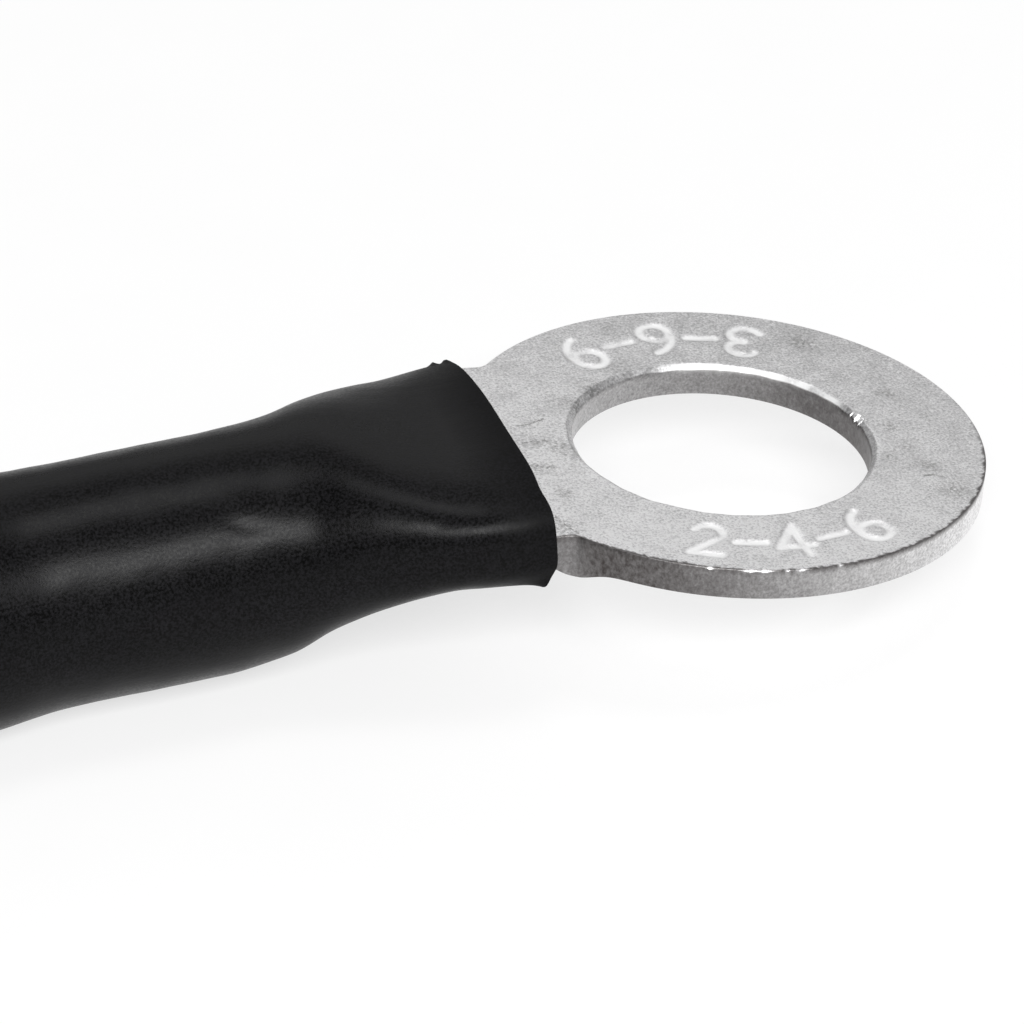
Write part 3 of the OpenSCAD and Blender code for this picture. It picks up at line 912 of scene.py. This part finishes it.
class Finish:
    """A material in the making: nodes are added by kind, with values or links for their inputs."""

    # Nearly all the values of a noise lie between these
    NOISE_LOW = 0.3
    NOISE_HIGH = 0.7

    def __init__(self, name):
        self.material = bpy.data.materials.new(name)
        self.material.use_nodes = True
        self.nodes = self.material.node_tree.nodes
        self.links = self.material.node_tree.links
        self.shader = self.nodes["Principled BSDF"]
        self.coords = self.nodes.new("ShaderNodeTexCoord").outputs["Object"]

    def fill(self, node, inputs):
        """Sets a node's inputs, or links them where a socket is given."""
        for name, value in inputs.items():
            if isinstance(value, bpy.types.NodeSocket):
                self.links.new(value, node.inputs[name])
            else:
                node.inputs[name].default_value = value
        return node

    def add(self, kind, inputs, **settings):
        """A new node, its settings set and its inputs filled."""
        node = self.nodes.new(kind)
        for name, value in settings.items():
            setattr(node, name, value)
        return self.fill(node, inputs)

    def surface(self, **inputs):
        """Fills the shader's inputs, whose names are given with _ for a space."""
        self.fill(self.shader, {name.replace("_", " "): value for name, value in inputs.items()})
        return self.material

    def vector(self, operation, other):
        """What comes of the points' coordinates and another vector."""
        return self.add("ShaderNodeVectorMath", {0: self.coords, 1: other}, operation=operation).outputs

    def noise(self, size, detail=2.0, roughness=0.55, stretch=(1.0, 1.0, 1.0)):
        """Noise whose lumps are about that size in metres."""
        coords = self.vector("MULTIPLY", stretch)[0]
        inputs = {"Vector": coords, "Scale": 1.0 / size, "Detail": detail, "Roughness": roughness}
        return self.add("ShaderNodeTexNoise", inputs).outputs["Fac"]

    def range(self, value, start, end, low, high):
        """Value from start to end, as low to high."""
        inputs = {"Value": value, "From Min": start, "From Max": end, "To Min": low, "To Max": high}
        return self.add("ShaderNodeMapRange", inputs).outputs["Result"]

    def spread(self, noise, low, high):
        """The usual span of a noise, as low to high."""
        return self.range(noise, self.NOISE_LOW, self.NOISE_HIGH, low, high)

    def math(self, operation, first, second):
        """Two values put together."""
        return self.add("ShaderNodeMath", {0: first, 1: second}, operation=operation).outputs[0]

    def blend(self, share, first, second, kind="MIX"):
        """Two colours mixed by a share."""
        inputs = {0: share, 6: first, 7: second}
        return self.add("ShaderNodeMix", inputs, data_type="RGBA", blend_type=kind).outputs[2]

    def tinted(self, tint, shade):
        """A colour made darker and lighter by a shade."""
        return self.blend(1.0, opaque(tint), shade, "MULTIPLY")

    def bump(self, height, depth, before=None):
        """Bump of that depth in metres, over another bump if there is one."""
        inputs = {"Height": height, "Distance": depth, "Strength": 1.0}
        if before is not None:
            inputs["Normal"] = before
        return self.add("ShaderNodeBump", inputs).outputs["Normal"]

    def along(self, direction):
        """How far each point lies along a direction, in metres."""
        return self.vector("DOT_PRODUCT", direction)["Value"]

    def stored(self, name):
        """A value kept on the mesh's points."""
        return self.add("ShaderNodeAttribute", {}, attribute_name=name).outputs["Fac"]


def opaque(value):
    """A colour with its alpha."""
    return (*value, 1.0)


def tin_finish(colours):
    """Satin tin plating with fine grain and smudges, stamped numbers of burnished tin painted white as a
    highlight, a painted highlight on the hole's edge, and sheared edges darkened by tarnish and painted
    shade.
    """
    finish = Finish("tin_plating")
    grain = finish.noise(0.07 * MM, 3.0, 0.6)
    mottle = finish.noise(0.9 * MM, 4.0, 0.65)
    rolled = finish.noise(0.12 * MM, 3.0, 0.6, (0.12, 1.0, 1.0))
    stamped, scuffed, cut_edge = (finish.stored(name) for name in ("stamped", "scuffed", "cut_edge"))
    # The stamped numbers' painted highlight fades in uneven patches
    patches = finish.range(finish.noise(0.7 * MM, 2.0), 0.36, 0.52, 0.5, 1.0)
    stamped = finish.math("MULTIPLY", stamped, patches)
    shade = finish.spread(mottle, 0.86, 1.08)
    shade = finish.math("MULTIPLY", shade, finish.range(grain, 0.25, 0.75, 0.58, 1.42))
    shade = finish.math("MULTIPLY", shade, finish.spread(rolled, 0.95, 1.04))
    # Painted light: the plating is made a little paler towards the near side
    toward = finish.along((-0.45, -0.9, 0.0))
    shade = finish.math("MULTIPLY", shade, finish.range(toward, -7.0 * MM, 7.0 * MM, 0.93, 1.18))
    plated = finish.tinted(colours.tin, shade)
    speckle = finish.range(finish.noise(0.11 * MM, 3.0, 0.7), 0.42, 0.62, 0.0, 1.0)
    # Grime of scratches and smudges, with painted shade at the neck's near corner
    dirty_and_shaded = finish.math("MULTIPLY", scuffed, speckle)
    dirty_and_shaded = finish.math("MAXIMUM", dirty_and_shaded, finish.range(scuffed, 0.65, 1.0, 0.0, 0.9))
    plated = finish.blend(dirty_and_shaded, plated, opaque(colours.grime_and_shade))
    # Stamped numbers, partly burnished tin and partly painted highlight, and the painted highlight on the
    # hole's edge
    plated = finish.blend(stamped, plated, opaque(colours.stamp_and_highlight_tin))
    # Sheared edges darkened by tarnish, and by painted shade along the rim, on the walls and inside the hole
    sheared = finish.noise(0.13 * MM, 3.0, 0.65, (1.0, 1.0, 0.7))
    worn = finish.math("MULTIPLY", cut_edge, finish.range(sheared, 0.3, 0.62, 1.0, 0.88))
    base = finish.blend(worn, plated, opaque(colours.tarnish_and_shade_tint))
    rough = finish.range(grain, 0.2, 0.8, 0.36, 0.52)
    # Less metallic there, so that the painted highlight stays white
    metal = finish.range(stamped, 0.0, 1.0, 1.0, 0.25)
    normal = finish.bump(grain, 0.009 * MM)
    normal = finish.bump(mottle, 0.02 * MM, normal)
    return finish.surface(Base_Color=base, Metallic=metal, Roughness=rough, Normal=normal)


def sleeve_finish(colours):
    """Black shrink tubing: satin, with a fine pebbled skin and faint smears."""
    finish = Finish("shrink_tubing")
    grain = finish.noise(0.075 * MM, 2.0)
    smear = finish.noise(1.6 * MM, 4.0, 0.6, (0.35, 1.0, 1.0))
    shade = finish.spread(smear, 0.8, 1.25)
    shade = finish.math("MULTIPLY", shade, finish.range(grain, 0.37, 0.63, 0.0, 2.1))
    base = finish.tinted(colours.sleeve, shade)
    rough = finish.spread(smear, -0.035, 0.035)
    rough = finish.math("ADD", rough, finish.range(grain, 0.35, 0.65, 0.29, 0.41))
    # The heat left the mouth duller than the rest
    mouth = finish.range(finish.along((1.0, 0.0, 0.0)), -7.9 * MM, -6.5 * MM, 0.0, 0.3)
    rough = finish.math("ADD", rough, mouth)
    normal = finish.bump(grain, 0.004 * MM)
    normal = finish.bump(smear, 0.02 * MM, normal)
    return finish.surface(Base_Color=base, Roughness=rough, Normal=normal, Specular_IOR_Level=0.11)


def mottled(name, tint, clouds, shades, roughs, grain, depth, **surface):
    """A plain material: clouds in its colour and roughness, and a fine grain of some depth in its skin."""
    finish = Finish(name)
    cloud = finish.noise(*clouds)
    base = finish.tinted(tint, finish.spread(cloud, *shades))
    rough = finish.spread(cloud, *roughs)
    normal = finish.bump(finish.noise(*grain), depth)
    return finish.surface(Base_Color=base, Roughness=rough, Normal=normal, **surface)


def jacket_finish(colours):
    """Black cable jacket, smooth from the die with faint handling marks."""
    return mottled(
        "cable_jacket", colours.jacket, clouds=(2.4 * MM, 4.0, 0.6), shades=(0.8, 1.3), roughs=(0.36, 0.5),
        grain=(0.09 * MM, 2.0), depth=0.005 * MM, Specular_IOR_Level=0.2
    )


def tie_finish(colours):
    """Black nylon, slightly mottled from the mould."""
    return mottled(
        "nylon", colours.tie, clouds=(1.1 * MM, 3.0), shades=(0.75, 1.3), roughs=(0.42, 0.58),
        grain=(0.12 * MM, 3.0), depth=0.008 * MM, Specular_IOR_Level=0.35
    )


def copper_finish(colours):
    """Bare copper strands, dulled here and there."""
    return mottled(
        "copper_strands", colours.copper, clouds=(0.5 * MM, 3.0), shades=(0.7, 1.1), roughs=(0.42, 0.25),
        grain=(0.05 * MM, 2.0), depth=0.003 * MM, Metallic=1.0
    )


def floor_finish(colours):
    """A pale floor that the camera and mirrors see as white, with the lead's shadow on it."""
    finish = Finish("pale_floor")
    base = finish.tinted(colours.floor, finish.spread(finish.noise(4.0 * MM, 3.0), 0.99, 1.01))
    finish.surface(Base_Color=base, Roughness=0.9, Specular_IOR_Level=0.0)
    rays = finish.add("ShaderNodeLightPath", {}).outputs
    seen = finish.math("MAXIMUM", rays["Is Camera Ray"], rays["Is Glossy Ray"])
    seen = finish.math("MAXIMUM", seen, rays["Is Transmission Ray"])
    # Share of the floor's own glow in what the camera and mirrors see of it
    glow_share = 0.7
    share = finish.math("MULTIPLY", seen, glow_share)
    glow = finish.add("ShaderNodeEmission", {"Strength": 1.0}).outputs[0]
    both = finish.add("ShaderNodeMixShader", {0: share, 1: finish.shader.outputs[0], 2: glow}).outputs[0]
    finish.links.new(both, finish.nodes["Material Output"].inputs["Surface"])
    return finish.material


# Stage


# Softboxes: name, place and size in metres, and the setting that holds the power
SOFTBOXES = [
    ("front_softbox", (-0.03, -0.39, 0.34), (0.34, 0.15), "key_power"),
    ("top_softbox", (0.06, 0.05, 0.47), (0.17, 0.14), "top_power"),
    ("back_softbox", (0.12, 0.48, 0.34), (0.42, 0.3), "back_power"),
]
SOFTBOX_TARGET = (-0.01, 0.0, 0.0)
# Radii of the floor's rings in metres
FLOOR_RINGS = (0.02, 0.2, 1.0, 8.0)


def set_up(name, data, at, target, roll=0.0):
    """A camera or a light that stands at a place and faces a target."""
    thing = bpy.data.objects.new(name, data)
    bpy.context.scene.collection.objects.link(thing)
    thing.location = at
    thing.rotation_mode = "QUATERNION"
    facing = (Vector(target) - Vector(at)).to_track_quat("-Z", "Y")
    thing.rotation_quaternion = facing @ Quaternion((0.0, 0.0, 1.0), roll)
    return thing


def add_camera(stage):
    """The camera, at the photograph's viewing angle."""
    data = bpy.data.cameras.new("camera")
    data.sensor_width = 36.0
    data.lens = stage.lens
    data.clip_start, data.clip_end = 0.005, 50.0
    camera = set_up("camera", data, stage.camera_at, stage.camera_target, stage.camera_roll)
    bpy.context.scene.camera = camera


def add_softbox(name, at, size, watts):
    """A rectangular soft light that faces the near terminal."""
    data = bpy.data.lights.new(name, "AREA")
    data.shape = "RECTANGLE"
    data.size, data.size_y = size
    data.energy = watts
    set_up(name, data, at, SOFTBOX_TARGET).visible_camera = False


def add_sky(level):
    """Even, pale surroundings."""
    world = bpy.data.worlds.new("surroundings")
    world.use_nodes = True
    background = world.node_tree.nodes["Background"].inputs
    background["Color"].default_value = (1.0, 1.0, 1.0, 1.0)
    background["Strength"].default_value = level
    bpy.context.scene.world = world


def add_floor(colours):
    """A wide plain floor under the lead."""
    turn = turns(64)
    circle = np.stack([np.cos(turn), np.sin(turn), np.zeros_like(turn)], axis=-1)
    rings = np.array([radius * circle for radius in FLOOR_RINGS]) + [0.0, 0.0, FLOOR_Z]
    grid = numbered(rings)
    faces = quads(grid, wrap=True) + [grid[0].tolist()]
    mesh = make_mesh("floor", rings.reshape(-1, 3), faces)
    if mesh.polygons[0].normal.z < 0.0:
        mesh.flip_normals()
    floor = bpy.data.objects.new("floor", mesh)
    mesh.materials.append(floor_finish(colours))
    bpy.context.scene.collection.objects.link(floor)


# Operators


class LEAD_OT_stage(bpy.types.Operator):
    """Set up the camera, the light and the floor"""

    bl_idname = "lead.stage"
    bl_label = "Stage"

    def execute(self, context):
        settings = context.scene.lead
        stage = settings.stage
        add_camera(stage)
        add_sky(stage.sky_level)
        for name, at, size, setting in SOFTBOXES:
            add_softbox(name, at, size, getattr(stage, setting))
        add_floor(settings.finish)
        context.scene.view_settings.view_transform = "Standard"
        return {"FINISHED"}


class LEAD_OT_terminals(bpy.types.Operator):
    """Build the two stamped, plated and rolled ring terminals"""

    bl_idname = "lead.terminals"
    bl_label = "Ring terminals"

    def execute(self, context):
        settings = context.scene.lead
        mesh = Sheet(settings.terminal).mesh("terminal_sheet")
        add_pair("terminal_sheet", mesh, tin_finish(settings.finish), "ring_terminal")
        return {"FINISHED"}


class LEAD_OT_strands(bpy.types.Operator):
    """Build the bare strands in the two barrels"""

    bl_idname = "lead.strands"
    bl_label = "Strands"

    def execute(self, context):
        settings = context.scene.lead
        mesh = strand_mesh(settings.cable, Sheet(settings.terminal))
        add_pair("strands", mesh, copper_finish(settings.finish), "conductor_end")
        return {"FINISHED"}


class LEAD_OT_sleeves(bpy.types.Operator):
    """Build the two shrink sleeves"""

    bl_idname = "lead.sleeves"
    bl_label = "Shrink sleeves"

    def execute(self, context):
        settings = context.scene.lead
        mesh = sleeve_mesh(settings.sleeve, settings.terminal)
        add_pair("sleeve_skin", mesh, sleeve_finish(settings.finish), "shrink_sleeve")
        return {"FINISHED"}


class LEAD_OT_tie(bpy.types.Operator):
    """Build the strap tie round the folded lead"""

    bl_idname = "lead.tie"
    bl_label = "Strap tie"

    def execute(self, context):
        settings = context.scene.lead
        mesh = tie_mesh(settings.tie, settings.cable.diameter / 2.0)
        add_piece("strap_tie", mesh, tie_finish(settings.finish), ["cable_tie"])
        return {"FINISHED"}


class LEAD_OT_cable(bpy.types.Operator):
    bl_idname = "lead.cable"
    bl_label = "Cable"

    def execute(self, context):
        settings = context.scene.lead
        cable = settings.cable
        axis = -settings.terminal.axis_drop
        start = Vector((-cable.jacket_start, 0.0, axis))
        points = [start] + [Vector(point) * MM for point in ROUTE] + [start + FAR_AT]
        curve = bpy.data.curves.new("cable", "CURVE")
        curve.dimensions = "3D"
        curve.bevel_depth = cable.diameter / 2.0
        curve.bevel_resolution = 10
        curve.resolution_u = 10
        curve.use_fill_caps = True
        spline = curve.splines.new("BEZIER")
        spline.bezier_points.add(len(points) - 1)
        for knot, point in zip(spline.bezier_points, points):
            knot.co = point
            knot.handle_left_type = knot.handle_right_type = "AUTO"
        piece = bpy.data.objects.new("cable", curve)
        curve.materials.append(jacket_finish(settings.finish))
        context.scene.collection.objects.link(piece)
        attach(piece, "root")
        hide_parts("cable_run", "jacket_end", "far_jacket_end")
        return {"FINISHED"}


class LEAD_PT_panel(bpy.types.Panel):
    """Settings and builders of the lead"""

    bl_idname = "LEAD_PT_panel"
    bl_label = "Ring terminal lead"
    bl_space_type = "VIEW_3D"
    bl_region_type = "UI"
    bl_category = "Lead"

    def draw(self, context):
        settings = context.scene.lead
        for group in ("terminal", "sleeve", "cable", "tie", "finish", "stage"):
            box = self.layout.box()
            box.label(text=group.capitalize())
            values = getattr(settings, group)
            for name in values.__annotations__:
                box.prop(values, name)
        for operator in OPERATORS:
            self.layout.operator(operator.bl_idname)


OPERATORS = (LEAD_OT_stage, LEAD_OT_terminals, LEAD_OT_strands, LEAD_OT_sleeves, LEAD_OT_tie, LEAD_OT_cable)
GROUPS = (TerminalSizes, SleeveSizes, CableSizes, TieSizes, Finishes, StageSettings, LeadSettings)


def register():
    """Adds the settings, the operators and the panel."""
    for kind in (*GROUPS, *OPERATORS, LEAD_PT_panel):
        bpy.utils.register_class(kind)
    bpy.types.Scene.lead = PointerProperty(type=LeadSettings)


def unregister():
    """Takes them away again."""
    del bpy.types.Scene.lead
    for kind in reversed((*GROUPS, *OPERATORS, LEAD_PT_panel)):
        bpy.utils.unregister_class(kind)


def main():
    """Builds the lead."""
    register()
    bpy.ops.lead.stage()
    bpy.ops.lead.terminals()
    bpy.ops.lead.strands()
    bpy.ops.lead.sleeves()
    bpy.ops.lead.tie()
    bpy.ops.lead.cable()


if __name__ == "__main__":
    main()
